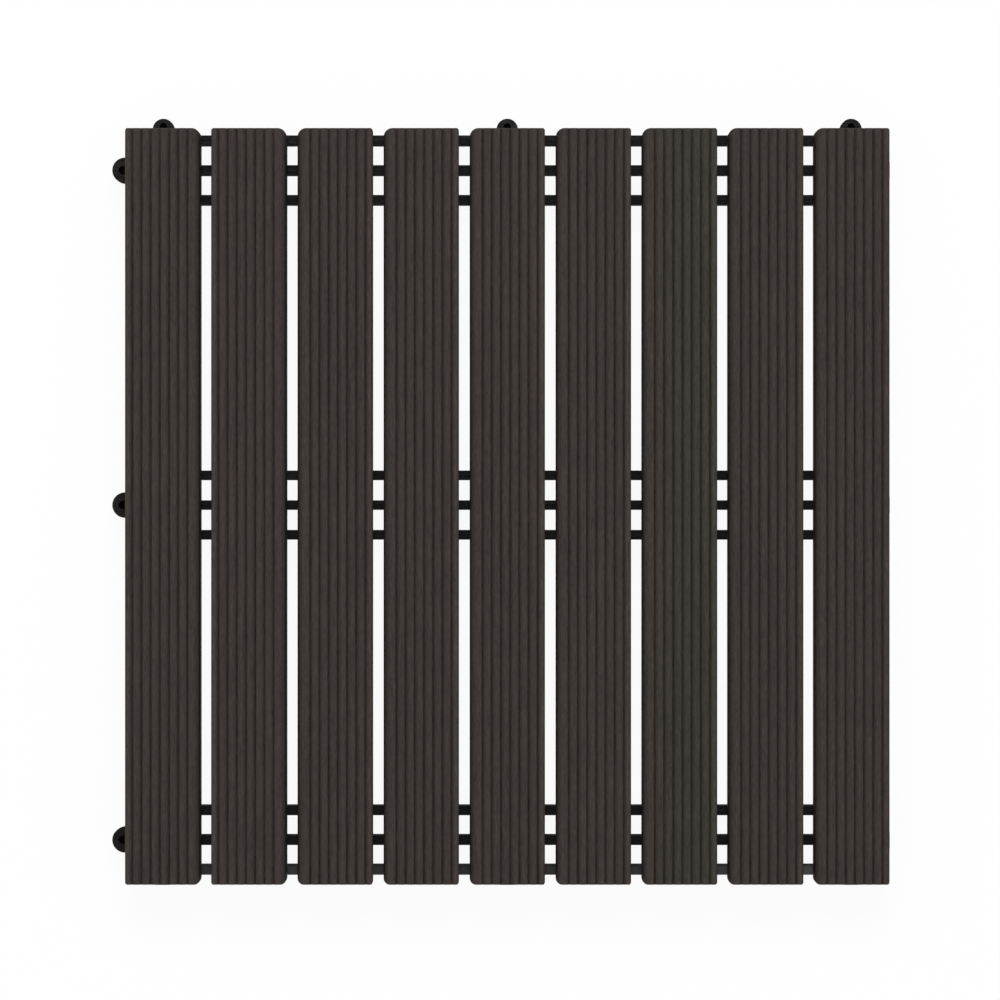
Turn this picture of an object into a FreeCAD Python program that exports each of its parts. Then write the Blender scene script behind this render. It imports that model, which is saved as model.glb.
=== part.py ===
"""Interlocking deck tile: nine reeded composite slats screwed to three moulded rails.

Frame: millimetres, +Z up, origin at the centre of the middle rail's underside, +X across
the slats and +Y along them. Sockets stand out past the -X and the +Y edge, and the pegs
that drop into the next tile's sockets hang at the other two.
"""
import FreeCAD, Part
import math
import os
import Sketcher
from FreeCAD import Vector

# Sides of a screw's head, of its shank and of its holes
SCREW_SIDES = 6

doc = FreeCAD.newDocument("deck_tile")

# Driving dimensions, each with its name and meaning
DIMENSIONS = (
    ("slat_count", "9", "slats side by side"),
    ("right_facing_slats", "2", "slats from the left whose broad rounded edge faces right"),
    ("slat_width", "29.46", "width of a slat"),
    ("slat_gap", "4.23", "open gap between two slats"),
    ("slat_length", "295.9", "length of a slat"),
    ("slat_thickness", "11.5", "slat height at the crown of a reed"),
    ("broad_edge_radius", "3", "rounding along the broad edge of a slat"),
    ("narrow_edge_radius", "0.8", "rounding along the narrow edge of a slat"),
    ("underside_chamfer", "0.8", "chamfer along both lower edges of a slat"),
    ("broad_rear_corner", "3.5", "plan radius of the broad edge's rear corner"),
    ("broad_front_corner", "2.5", "plan radius of the broad edge's front corner"),
    ("narrow_corner", "1", "plan radius of both corners of the narrow edge"),
    ("groove_count", "7", "grooves on a slat"),
    ("broad_land", "5", "broad edge to the nearest groove"),
    ("narrow_land", "2.9", "narrow edge to the nearest groove"),
    ("groove_depth", "0.9", "depth of a groove below the crown"),
    ("gentle_run", "1.9", "width of the long side of a reed"),
    ("steep_run", "0.3", "width of the steep wall of a reed"),
    ("shoulder_run", "0.7", "width of the slope above the steep wall"),
    ("shoulder_drop", "0.15", "height of the slope above the steep wall"),
    ("slat_shift", "0.5", "middle of the slats to the middle rail, towards the front"),
    ("rail_pitch", "131.7", "distance between two rails"),
    ("rail_height", "12.5", "height of a rail, where the slats rest"),
    ("rail_inset", "2.25", "slat field's edge to the end of a rail"),
    ("bar_width", "3.8", "width of one bar of a rail"),
    ("bar_pitch", "11.7", "distance between two bars of a rail"),
    ("end_wall", "2.5", "wall across the bars at both ends of a rail"),
    ("pad_length", "24", "length of the pad under a slat, along the rail"),
    ("pad_thickness", "2.2", "thickness of the pad under a slat"),
    ("rib_thickness", "1.6", "cross rib under both ends of a pad"),
    ("rib_foot", "4", "height of a cross rib's lower edge"),
    ("drain_width", "8", "width of a drain notch at its mouth"),
    ("drain_height", "2", "height of a drain notch"),
    ("drain_slope", "1.5", "run of a drain notch's slanted side"),
    ("screw_diameter", "3.5", "outer diameter of a screw's thread"),
    ("screw_length", "9.5", "length of a screw under its head"),
    ("screw_point", "2.5", "length of a screw's point"),
    ("head_flats", "5.5", "width across the flats of a screw's hexagon head"),
    ("head_height", "2.35", "height of a screw head"),
    ("shank_clearance", "0.2", "gap around a screw's thread"),
    ("pilot_spare", "0.6", "pilot hole beyond a screw's point"),
    ("lay_gap", "1.02", "gap between two tiles that are joined"),
    ("side_socket_diameter", "10.03", "outer diameter of a socket on the left edge"),
    ("side_socket_reach", "0.88", "slat field's edge to the middle of a side socket's outline"),
    ("side_hole_diameter", "3.4", "hole of a side socket"),
    ("side_hole_reach", "1.7", "slat field's edge to the middle of a side socket's hole"),
    ("end_socket_diameter", "8.42", "outer diameter of a socket on the rear edge"),
    ("end_socket_reach", "0.33", "slat end to the middle of a rear socket's outline"),
    ("end_hole_diameter", "2.8", "hole of a rear socket"),
    ("end_hole_reach", "1.4", "slat end to the middle of a rear socket's hole"),
    ("end_socket_pitch", "135.25", "distance between two sockets on the rear edge"),
    ("socket_height", "7.2", "height of a socket"),
    ("socket_floor", "1.2", "thickness of the floor of a side socket's hole"),
    ("floor_step", "0.4", "rise of the floor from each socket of the rear rail to the next"),
    ("peg_clearance", "0.2", "gap between a peg and its hole, all round"),
    ("peg_gap", "0.3", "gap between a peg's tip and the floor of its hole"),
    ("peg_lead", "1", "tapered tip of a peg"),
    ("peg_lead_angle", "20", "slope of a peg's tip, in degrees"),
    ("peg_slot", "0.7", "slot that splits a peg"),
    ("peg_slot_depth", "2.5", "depth of the slot that splits a peg"),
    ("tab_thickness", "2", "thickness of the tab that a peg hangs from"),
    ("tab_margin", "1.6", "tab beside its peg"),
    ("lap_clearance", "0.3", "gap between a tab and the socket below it"),
    ("relief_clearance", "0.5", "gap around the next tile's socket"),
)

# Sizes that follow from the driving dimensions
DERIVED = (
    ("slat_pitch", "Sizes.slat_width + Sizes.slat_gap"),
    ("half_field", "(Sizes.slat_count * slat_pitch - Sizes.slat_gap) / 2"),
    ("half_slat", "Sizes.slat_width / 2"),
    ("half_length", "Sizes.slat_length / 2"),
    ("groove_pitch", "(Sizes.slat_width - Sizes.broad_land - Sizes.narrow_land) / (Sizes.groove_count - 1)"),
    ("reed_radius", "(Sizes.gentle_run^2 + Sizes.groove_depth^2) / (2 * Sizes.groove_depth)"),
    ("hole_radius", "Sizes.screw_diameter / 2 + Sizes.shank_clearance"),
    ("pilot_depth", "Sizes.screw_length + Sizes.pilot_spare - Sizes.pad_thickness"),
    ("half_rail", "half_field - Sizes.rail_inset"),
    ("half_span", "Sizes.bar_pitch + Sizes.bar_width / 2"),
    ("hollow_height", "Sizes.rail_height - Sizes.tab_thickness"),
    ("socket_bottom", "hollow_height - Sizes.lap_clearance - Sizes.socket_height"),
    ("hole_bottom", "socket_bottom + Sizes.socket_floor"),
    ("highest_floor", "hole_bottom + 3 * Sizes.floor_step"),
    ("peg_tip", "highest_floor + Sizes.peg_gap"),
    ("side_socket_radius", "Sizes.side_socket_diameter / 2"),
    ("side_socket_x", "-half_field - Sizes.side_socket_reach"),
    ("side_hole_x", "-half_field - Sizes.side_hole_reach"),
    ("side_hollow_x", "half_field + Sizes.lay_gap - Sizes.side_socket_reach"),
    ("side_peg_x", "half_field + Sizes.lay_gap - Sizes.side_hole_reach"),
    ("side_peg_radius", "Sizes.side_hole_diameter / 2 - Sizes.peg_clearance"),
    ("end_socket_radius", "Sizes.end_socket_diameter / 2"),
    ("rear_end", "half_length - Sizes.slat_shift - Sizes.rail_pitch"),
    ("end_socket_y", "rear_end + Sizes.end_socket_reach"),
    ("end_hole_y", "rear_end + Sizes.end_hole_reach"),
    ("front_end", "Sizes.rail_pitch - Sizes.slat_shift - half_length"),
    ("end_hollow_y", "front_end - Sizes.lay_gap + Sizes.end_socket_reach"),
    ("end_peg_y", "front_end - Sizes.lay_gap + Sizes.end_hole_reach"),
    ("end_peg_radius", "Sizes.end_hole_diameter / 2 - Sizes.peg_clearance"),
)


def fill_sheets():
    """Write the driving dimensions and the sizes that follow from them."""
    driving = doc.addObject("Spreadsheet::Sheet", "Sizes")
    for row, (alias, number, meaning) in enumerate(DIMENSIONS, 1):
        driving.set(f"A{row}", meaning)
        driving.set(f"B{row}", number)
        driving.setAlias(f"B{row}", alias)
    following = doc.addObject("Spreadsheet::Sheet", "Layout")
    for row, (alias, formula) in enumerate(DERIVED, 1):
        following.set(f"B{row}", "=" + formula)
        following.setAlias(f"B{row}", alias)
    doc.recompute()
    return driving


sheet = fill_sheets()


def read(expression):
    """The number that an expression on the sheets gives."""
    return float(sheet.evalExpression(expression))


def new_body(name):
    body = doc.addObject("PartDesign::Body", name)
    body.Label = name
    return body


def new_sketch(body, name, role="XY_Plane", lift="0"):
    """A sketch on one of the body's own origin planes, lifted along the plane's normal."""
    plane = next(item for item in body.Origin.OriginFeatures if item.Role == role)
    sketch = body.newObject("Sketcher::SketchObject", f"{body.Name}_{name}")
    sketch.AttachmentSupport = [(plane, "")]
    sketch.MapMode = "FlatFace"
    sketch.setExpression("AttachmentOffset.Base.z", lift)
    return sketch


def bind(sketch, kind, where, expression):
    """Add one dimension to a sketch and tie it to the sheets."""
    index = sketch.addConstraint(Sketcher.Constraint(kind, *where, read(expression)))
    sketch.setExpression(f"Constraints[{index}]", expression)


def arc_between(start, end, radius, turn):
    """The shorter arc from start to end, turning left (1) or right (-1)."""
    chord = end - start
    lift = math.sqrt(max(radius ** 2 - (chord.Length / 2) ** 2, 0))
    normal = Vector(-chord.y, chord.x, 0).normalize()
    centre = start + chord * 0.5 + normal * (lift * turn)
    first, last = (start, end) if turn > 0 else (end, start)
    first_angle = math.atan2(first.y - centre.y, first.x - centre.x)
    last_angle = math.atan2(last.y - centre.y, last.x - centre.x)
    circle = Part.Circle(centre, Vector(0, 0, 1), radius)
    return Part.ArcOfCircle(circle, first_angle, last_angle)


def add_loop(sketch, corners):
    """A closed outline. A corner is (x, y), or (x, y, radius, turn) where an arc leaves it."""
    places = [Vector(read(corner[0]), read(corner[1]), 0) for corner in corners]
    edges = []
    for number, corner in enumerate(corners):
        start = places[number]
        end = places[(number + 1) % len(corners)]
        if len(corner) == 2:
            edges.append((sketch.addGeometry(Part.LineSegment(start, end)), 1, 2))
            continue
        radius, turn = corner[2:]
        edge = sketch.addGeometry(arc_between(start, end, read(radius), turn))
        edges.append((edge, 1, 2) if turn > 0 else (edge, 2, 1))
    for number, corner in enumerate(corners):
        edge, start, _ = edges[number]
        before, _, end = edges[number - 1]
        sketch.addConstraint(Sketcher.Constraint("Coincident", before, end, edge, start))
        bind(sketch, "DistanceX", (edge, start), corner[0])
        bind(sketch, "DistanceY", (edge, start), corner[1])
        if len(corner) > 2:
            bind(sketch, "Radius", (edge,), corner[2])


def add_box(sketch, low_x, low_y, high_x, high_y):
    add_loop(sketch, [(low_x, low_y), (high_x, low_y), (high_x, high_y), (low_x, high_y)])


def add_circle(sketch, x, y, radius):
    centre = Vector(read(x), read(y), 0)
    circle = sketch.addGeometry(Part.Circle(centre, Vector(0, 0, 1), read(radius)))
    bind(sketch, "DistanceX", (circle, 3), x)
    bind(sketch, "DistanceY", (circle, 3), y)
    bind(sketch, "Radius", (circle,), radius)


def around():
    """Corners of the screws' polygon, one unit from its middle."""
    turns = [math.pi * (2 * corner + 1) / SCREW_SIDES for corner in range(SCREW_SIDES)]
    return [(round(math.cos(turn), 6), round(math.sin(turn), 6)) for turn in turns]


def add_screw_hole(sketch, x, y):
    """A hole whose flats clear a screw's thread all round."""
    corner = f"Layout.hole_radius / {math.cos(math.pi / SCREW_SIDES):.6f}"
    add_loop(sketch, [(f"{x} + {across} * {corner}", f"{y} + {along} * {corner}")
                      for across, along in around()])


def extrude(kind, body, sketch, length=None, upward=True, both_ways=False, taper=None):
    """A Pad or a Pocket of a sketch. A Pocket without a length goes through everything."""
    feature = body.newObject(f"PartDesign::{kind}", f"{sketch.Name}_{kind.lower()}")
    feature.Profile = sketch
    if both_ways:
        feature.SideType = "Symmetric"
    else:
        feature.Reversed = (kind == "Pocket") == upward
    if length is None:
        feature.Type = "ThroughAll"
    else:
        feature.setExpression("Length", length)
    if taper is not None:
        feature.setExpression("TaperAngle", taper)
    sketch.Visibility = False
    body.Tip = feature
    doc.recompute()
    return feature


def repeat_along_x(body, name, features, step, count):
    """Copies of some features along X, the first where the features are."""
    axis = next(item for item in body.Origin.OriginFeatures if item.Role == "X_Axis")
    pattern = body.newObject("PartDesign::LinearPattern", f"{body.Name}_{name}")
    pattern.Originals = features
    pattern.Direction = (axis, [""])
    pattern.setExpression("Length", f"({count} - 1) * {step}")
    pattern.setExpression("Occurrences", count)
    body.Tip = pattern
    doc.recompute()
    return pattern


def slat_x(index):
    """Centre of a slat across the tile, from its number counted from 0."""
    return f"({index} - (Sizes.slat_count - 1) / 2) * Layout.slat_pitch"


def screw_side(index):
    """Screws stand in front of the middle bar and behind it by turns."""
    return 1 if index % 2 == 0 else -1


# Slats

def slat_section(body, side):
    """Plain section of a slat. Side is 1 where the broad edge faces +X, else -1."""
    sketch = new_sketch(body, "section", "XZ_Plane")
    top = "Sizes.slat_thickness"
    low = "Sizes.underside_chamfer"
    broad = "Sizes.broad_edge_radius"
    narrow = "Sizes.narrow_edge_radius"
    add_loop(sketch, [
        (f"{side} * (-Layout.half_slat + {low})", "0"),
        (f"{side} * (Layout.half_slat - {low})", "0"),
        (f"{side} * Layout.half_slat", low),
        (f"{side} * Layout.half_slat", f"{top} - {broad}", broad, side),
        (f"{side} * (Layout.half_slat - {broad})", top),
        (f"{side} * (-Layout.half_slat + {narrow})", top, narrow, side),
        (f"{side} * -Layout.half_slat", f"{top} - {narrow}"),
        (f"{side} * -Layout.half_slat", low),
    ])
    extrude("Pad", body, sketch, "Sizes.slat_length", both_ways=True)


def slat_reeds(body, side):
    """Grooves between the reeds: a long round side, a steep wall and a slight slope."""
    sketch = new_sketch(body, "groove", "XZ_Plane")
    top = "Sizes.slat_thickness"
    above = "(Sizes.slat_thickness + 1)"
    first = "Sizes.narrow_land" if side > 0 else "Sizes.broad_land"
    groove = f"(-Layout.half_slat + {first})"
    long_side = f"{groove} - {side} * Sizes.gentle_run"
    wall_top = f"{groove} + {side} * Sizes.steep_run"
    crown = f"{groove} + {side} * (Sizes.steep_run + Sizes.shoulder_run)"
    add_loop(sketch, [
        (long_side, above),
        (long_side, top, "Layout.reed_radius", -side),
        (groove, f"{top} - Sizes.groove_depth"),
        (wall_top, f"{top} - Sizes.shoulder_drop"),
        (crown, top),
        (crown, above),
    ])
    groove_cut = extrude("Pocket", body, sketch, both_ways=True)
    repeat_along_x(body, "grooves", [groove_cut], "Layout.groove_pitch", "Sizes.groove_count")


def slat_corners(body, side):
    """Round the four corners of a slat in plan."""
    sketch = new_sketch(body, "corners")
    for across, along, radius in (
        (side, 1, "Sizes.broad_rear_corner"),
        (side, -1, "Sizes.broad_front_corner"),
        (-side, 1, "Sizes.narrow_corner"),
        (-side, -1, "Sizes.narrow_corner"),
    ):
        edge = f"{across} * Layout.half_slat"
        end = f"{along} * Layout.half_length"
        outside = f"{across} * (Layout.half_slat + 1)"
        beyond = f"{along} * (Layout.half_length + 1)"
        inner_x = f"{across} * (Layout.half_slat - {radius})"
        inner_y = f"{along} * (Layout.half_length - {radius})"
        add_loop(sketch, [
            (edge, inner_y, radius, across * along),
            (inner_x, end),
            (inner_x, beyond),
            (outside, beyond),
            (outside, inner_y),
        ])
    extrude("Pocket", body, sketch)


def slat_pilot_holes(body, index):
    sketch = new_sketch(body, "pilots")
    for rail in (-1, 0, 1):
        place = f"{rail} * Sizes.rail_pitch + {screw_side(index)} * Sizes.bar_pitch / 2"
        add_screw_hole(sketch, "0", f"{place} + Sizes.slat_shift")
    extrude("Pocket", body, sketch, "Layout.pilot_depth")


def make_slat(index):
    side = 1 if index < round(read("Sizes.right_facing_slats")) else -1
    body = new_body(f"slat_{index + 1}")
    slat_section(body, side)
    slat_reeds(body, side)
    slat_corners(body, side)
    slat_pilot_holes(body, index)
    body.setExpression("Placement.Base.x", slat_x(index))
    body.setExpression("Placement.Base.y", "-Sizes.slat_shift")
    body.setExpression("Placement.Base.z", "Sizes.rail_height")
    return body


# Rails

def rail_bars(body):
    """Three bars along the rail, joined by a wall at both ends."""
    bars = new_sketch(body, "bars")
    for row in (-1, 0, 1):
        low = f"{row} * Sizes.bar_pitch - Sizes.bar_width / 2"
        high = f"{row} * Sizes.bar_pitch + Sizes.bar_width / 2"
        add_box(bars, "-Layout.half_rail", low, "Layout.half_rail", high)
    extrude("Pad", body, bars, "Sizes.rail_height")
    walls = new_sketch(body, "end_walls")
    for end in (-1, 1):
        outer = f"{end} * Layout.half_rail"
        inner = f"{end} * (Layout.half_rail - Sizes.end_wall)"
        add_box(walls, outer, "-Layout.half_span", inner, "Layout.half_span")
    extrude("Pad", body, walls, "Sizes.rail_height")


def rail_pads(body):
    """A pad under each slat, with a cross rib below both of its ends."""
    first = slat_x(0)
    plate = new_sketch(body, "pad", lift="Sizes.rail_height - Sizes.pad_thickness")
    left = f"{first} - Sizes.pad_length / 2"
    right = f"{first} + Sizes.pad_length / 2"
    add_box(plate, left, "-Layout.half_span", right, "Layout.half_span")
    pad = extrude("Pad", body, plate, "Sizes.pad_thickness")
    ribs = new_sketch(body, "ribs", lift="Sizes.rib_foot")
    add_box(ribs, left, "-Layout.half_span", f"{left} + Sizes.rib_thickness", "Layout.half_span")
    add_box(ribs, f"{right} - Sizes.rib_thickness", "-Layout.half_span", right, "Layout.half_span")
    rib = extrude("Pad", body, ribs, "Sizes.rail_height - Sizes.rib_foot")
    repeat_along_x(body, "pads", [pad, rib], "Layout.slat_pitch", "Sizes.slat_count")


def rail_screw_holes(body, slats):
    """A hole through each pad, between the middle bar and one of its neighbours."""
    holes = new_sketch(body, "screw_holes")
    for index in range(slats):
        add_screw_hole(holes, slat_x(index), f"{screw_side(index)} * Sizes.bar_pitch / 2")
    extrude("Pocket", body, holes)


def rail_drains(body, slats):
    """Notches under the bars, one in each gap between two slats."""
    sketch = new_sketch(body, "drains", "XZ_Plane")
    for index in range(slats - 1):
        middle = f"{slat_x(index)} + Layout.slat_pitch / 2"
        mouth = "Sizes.drain_width / 2"
        roof = "(Sizes.drain_width / 2 - Sizes.drain_slope)"
        add_loop(sketch, [
            (f"{middle} - {mouth}", "-1"),
            (f"{middle} + {mouth}", "-1"),
            (f"{middle} + {mouth}", "0"),
            (f"{middle} + {roof}", "Sizes.drain_height"),
            (f"{middle} - {roof}", "Sizes.drain_height"),
            (f"{middle} - {mouth}", "0"),
        ])
    extrude("Pocket", body, sketch, both_ways=True)


def end_columns():
    """The three places along a rail that have a socket or a peg at the tile's end."""
    return [f"{column} * Sizes.end_socket_pitch" for column in (-1, 0, 1)]


def rail_sockets(body, on_rear_edge):
    """Socket at the left end, and on the rear rail three behind its outer bar.

    Each hole on the rear rail has its floor a step above the one before it.
    """
    lugs = new_sketch(body, "sockets", lift="Layout.socket_bottom")
    root = "(-Layout.half_rail + Sizes.end_wall)"
    radius = "Layout.side_socket_radius"
    add_loop(lugs, [
        (root, radius),
        ("Layout.side_socket_x", radius, radius, 1),
        (f"Layout.side_socket_x - {radius}", "0", radius, 1),
        ("Layout.side_socket_x", f"-{radius}"),
        (root, f"-{radius}"),
    ])
    holes = [("Layout.side_hole_x", "0", "Sizes.side_hole_diameter / 2")]
    radius = "Layout.end_socket_radius"
    for column in end_columns() if on_rear_edge else []:
        add_loop(lugs, [
            (f"{column} + {radius}", "Sizes.bar_pitch"),
            (f"{column} + {radius}", "Layout.end_socket_y", radius, 1),
            (column, f"Layout.end_socket_y + {radius}", radius, 1),
            (f"{column} - {radius}", "Layout.end_socket_y"),
            (f"{column} - {radius}", "Sizes.bar_pitch"),
        ])
        holes.append((column, "Layout.end_hole_y", "Sizes.end_hole_diameter / 2"))
    extrude("Pad", body, lugs, "Sizes.socket_height")
    for number, (x, y, hole_radius) in enumerate(holes):
        floor = f"Layout.hole_bottom + {number} * Sizes.floor_step"
        hole = new_sketch(body, f"socket_hole_{number}", lift=floor)
        add_circle(hole, x, y, hole_radius)
        extrude("Pocket", body, hole)


def rail_tabs(body, on_front_edge):
    """Tab level with the rail's top at the right end, and on the front rail three in front."""
    tabs = new_sketch(body, "tabs", lift="Layout.hollow_height")
    side = "(Layout.side_peg_radius + Sizes.tab_margin)"
    add_box(tabs, "Layout.half_rail - Sizes.end_wall", f"-{side}",
            "Layout.side_peg_x + Layout.side_peg_radius", side)
    side = "(Layout.end_peg_radius + Sizes.tab_margin)"
    for column in end_columns() if on_front_edge else []:
        add_box(tabs, f"{column} - {side}", "Layout.end_peg_y - Layout.end_peg_radius",
                f"{column} + {side}", "-Sizes.bar_pitch")
    extrude("Pad", body, tabs, "Sizes.tab_thickness")


def rail_pegs(body, on_front_edge):
    """Hollows that the next tile's sockets fill, each with a split peg that hangs in it."""
    hollows = new_sketch(body, "hollows")
    stems = new_sketch(body, "stems", lift="Layout.hollow_height")
    tips = new_sketch(body, "tips", lift="Layout.peg_tip + Sizes.peg_lead")
    slots = new_sketch(body, "slots", lift="Layout.peg_tip")
    add_circle(hollows, "Layout.side_hollow_x", "0", "Layout.side_socket_radius + Sizes.relief_clearance")
    places = [("Layout.side_peg_x", "0", "Layout.side_peg_radius")]
    for column in end_columns() if on_front_edge else []:
        reach = "Layout.end_socket_radius + Sizes.relief_clearance"
        add_circle(hollows, column, "Layout.end_hollow_y", reach)
        places.append((column, "Layout.end_peg_y", "Layout.end_peg_radius"))
    for x, y, radius in places:
        add_circle(stems, x, y, radius)
        add_circle(tips, x, y, radius)
        side = f"({radius} + Sizes.relief_clearance)"
        add_box(slots, f"{x} - Sizes.peg_slot / 2", f"{y} - {side}",
                f"{x} + Sizes.peg_slot / 2", f"{y} + {side}")
    extrude("Pocket", body, hollows, "Layout.hollow_height")
    extrude("Pad", body, stems, "Layout.hollow_height - Layout.peg_tip - Sizes.peg_lead", upward=False)
    extrude("Pad", body, tips, "Sizes.peg_lead", upward=False, taper="-Sizes.peg_lead_angle")
    extrude("Pocket", body, slots, "Sizes.peg_slot_depth")


def make_rail(name, row, slats):
    body = new_body(name)
    rail_bars(body)
    rail_drains(body, slats)
    rail_sockets(body, on_rear_edge=row > 0)
    rail_tabs(body, on_front_edge=row < 0)
    rail_pads(body)
    rail_pegs(body, on_front_edge=row < 0)
    rail_screw_holes(body, slats)
    body.setExpression("Placement.Base.y", f"{row} * Sizes.rail_pitch")
    return body


# Screws

def outline(radius, height):
    """The screws' polygon at some height, with its corners at a radius."""
    corners = [Vector(x * radius, y * radius, height) for x, y in around()]
    return Part.makePolygon(corners + corners[:1])


def screw_shape():
    """One hexagon head screw, head down, with the head's bearing face at height 0."""
    head_radius = read("Sizes.head_flats / 2") / math.cos(math.pi / SCREW_SIDES)
    head_height = read("Sizes.head_height")
    head = Part.Face(outline(head_radius, -head_height)).extrude(Vector(0, 0, head_height))
    radius = read("Sizes.screw_diameter / 2")
    length = read("Sizes.screw_length")
    shoulder = length - read("Sizes.screw_point")
    shank = Part.Face(outline(radius, 0)).extrude(Vector(0, 0, shoulder))
    point = Part.makeLoft([outline(radius, shoulder), Part.Vertex(0, 0, length)], True, True)
    return head.fuse([shank, point]).removeSplitter()


def make_screws(slats):
    """All the screws, one for each crossing of a slat and a rail."""
    screw = screw_shape()
    copies = []
    for index in range(slats):
        for rail in (-1, 0, 1):
            copy = screw.copy()
            across = read(slat_x(index))
            along = read(f"{rail} * Sizes.rail_pitch + {screw_side(index)} * Sizes.bar_pitch / 2")
            copy.translate(Vector(across, along, 0))
            copies.append(copy)
    group = doc.addObject("Part::Feature", "slat_screws")
    group.Label = "slat_screws"
    group.Shape = Part.makeCompound(copies)
    group.setExpression("Placement.Base.z", "Sizes.rail_height - Sizes.pad_thickness")
    return group


def check(pieces):
    """Stop if a feature has failed, a pocket has cut nothing or a shape isn't sound."""
    for item in doc.Objects:
        if "Invalid" in item.State or "Error" in item.State:
            raise RuntimeError(f"{item.Label} has failed: {item.State}")
        if item.TypeId == "PartDesign::Pocket" and item.Shape.Volume >= item.BaseFeature.Shape.Volume:
            raise RuntimeError(f"{item.Label} cuts nothing")
    for piece in pieces:
        if piece.Shape.isNull() or not piece.Shape.isValid():
            raise RuntimeError(f"{piece.Label} has no sound shape")


slat_total = round(read("Sizes.slat_count"))
parts = [make_slat(index) for index in range(slat_total)]
parts.append(make_rail("rail_rear", 1, slat_total))
parts.append(make_rail("rail_middle", 0, slat_total))
parts.append(make_rail("rail_front", -1, slat_total))
parts.append(make_screws(slat_total))
doc.recompute()
check(parts)

os.makedirs("parts", exist_ok=True)
for part in parts:
    part.Shape.exportStep(f"parts/{part.Label}.step")
    print(part.Label, len(part.Shape.Solids), round(part.Shape.Volume))
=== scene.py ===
"""Looks of the interlocking deck tile: reeded composite slats on black moulded rails.

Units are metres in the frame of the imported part: +X across the slats, +Y along them and
+Z up, with the origin at the centre of the middle rail's underside.
"""

import math
import random

import bpy
from bpy.props import FloatProperty, FloatVectorProperty, IntProperty, PointerProperty
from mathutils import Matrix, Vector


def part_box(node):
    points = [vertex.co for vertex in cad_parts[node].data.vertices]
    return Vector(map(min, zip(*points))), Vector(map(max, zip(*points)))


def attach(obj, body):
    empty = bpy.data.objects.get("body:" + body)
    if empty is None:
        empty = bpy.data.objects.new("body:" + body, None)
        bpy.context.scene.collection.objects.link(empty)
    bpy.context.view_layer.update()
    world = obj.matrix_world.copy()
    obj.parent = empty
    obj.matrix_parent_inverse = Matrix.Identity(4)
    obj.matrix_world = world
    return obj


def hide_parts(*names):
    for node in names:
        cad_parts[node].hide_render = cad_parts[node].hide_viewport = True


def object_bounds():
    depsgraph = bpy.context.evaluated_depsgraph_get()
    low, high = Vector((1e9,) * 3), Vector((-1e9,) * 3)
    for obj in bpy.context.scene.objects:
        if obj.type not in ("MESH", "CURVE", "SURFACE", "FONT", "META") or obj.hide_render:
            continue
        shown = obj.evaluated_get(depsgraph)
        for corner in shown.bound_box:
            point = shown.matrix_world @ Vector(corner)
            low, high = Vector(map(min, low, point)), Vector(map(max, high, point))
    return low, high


bl_info = {
    "name": "Deck tile",
    "version": (1, 0, 0),
    "blender": (4, 2, 0),
    "location": "3D View > Sidebar > Deck tile",
    "description": "Dresses a packed deck tile: composite slats, moulded rails, screws and a studio",
    "category": "Object",
}

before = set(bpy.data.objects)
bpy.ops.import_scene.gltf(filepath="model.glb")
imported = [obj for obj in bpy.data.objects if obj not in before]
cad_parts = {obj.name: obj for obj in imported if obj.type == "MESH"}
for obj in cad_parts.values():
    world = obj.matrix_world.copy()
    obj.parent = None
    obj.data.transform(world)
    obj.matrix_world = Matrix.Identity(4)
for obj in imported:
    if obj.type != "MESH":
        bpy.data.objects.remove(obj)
MM = 0.001
SLATS = [f"slat_{number}" for number in range(1, 10)]
RAILS = ["rail_rear", "rail_middle", "rail_front"]
TILE_LOW, TILE_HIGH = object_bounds()

# Form of the slats, the screws and the floor

# Straight steps in the quarter circles along a slat's narrow and broad edge
NARROW_STEPS, BROAD_STEPS = 5, 9
# Points on the long side of a reed, as shares of its width, closer together where it falls
LONG_SIDE_SHARES = (0.0, 0.2, 0.38, 0.54, 0.68, 0.8, 0.9, 0.965)
# Points round the bottom of a groove, in millimetres across and up from it
BOTTOM_POINTS = ((-0.02, 0.012), (0.04, 0.05))
# A point on the steep wall, as a share of its width and height, and one at its head, in
# millimetres across and up from its upper end
WALL_SHARE = 0.8
WALL_HEAD = (0.04, -0.03)
# Points on the shoulder: shares of its width, and of its drop below the crown
SHOULDER_POINTS = ((0.3, 0.55), (0.65, 0.15), (1.0, 0.0))
# Sections of a slat from front to rear: the end it is measured from, front -1 and rear 1, and
# the distance from that end in widths of the broken edge
SLAT_SECTIONS = ((-1, 0.0), (-1, 1.0), (-1, 40.0), (1, 40.0), (1, 1.0), (1, 0.0))

HEAD_SIDES, SHANK_SIDES = 24, 12
# Rings of the dish in the head: share of the corner radius, and depth in millimetres
DISH = ((0.05, 0.28), (0.45, 0.26), (0.58, 0.05), (0.64, 0.0), (0.80, 0.0))
# Rings of the chamfer over the head's corners: height in millimetres above its top face, and
# the circle that cuts them back as a share of the corner radius
CHAMFER = ((0.10, 0.885), (0.32, 0.955), (0.50, 1.0))
# The bearing face: height in millimetres over which it narrows, and the share that is left
BEARING_DROP, BEARING_SHARE = 0.12, 0.97
# Core radius of the thread as a share of the diameter, and its shares halfway up the point
# and at the tip
CORE_SHARE, HALFWAY_SHARE, TIP_SHARE = 0.36, 0.5, 0.06
# Thread in millimetres: its start above the head, its run below and above the crest, and its
# end below the tip; then the share of the crest that is left at the tip
THREAD_START, THREAD_BELOW, THREAD_ABOVE, THREAD_END = 0.2, 0.42, 0.30, 0.3
CREST_LEFT = 0.12
# Start of the draws that turn each screw about its axis
TURN_SEED = 4

# Half the floor's side, and how far it lies below the tile
FLOOR_REACH, FLOOR_GAP = 4.0, 0.05 * MM
PALE_GREY = (0.90, 0.90, 0.90, 1.0)
WHITE = (1.0, 1.0, 1.0, 1.0)

# Colour of the slats

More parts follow.
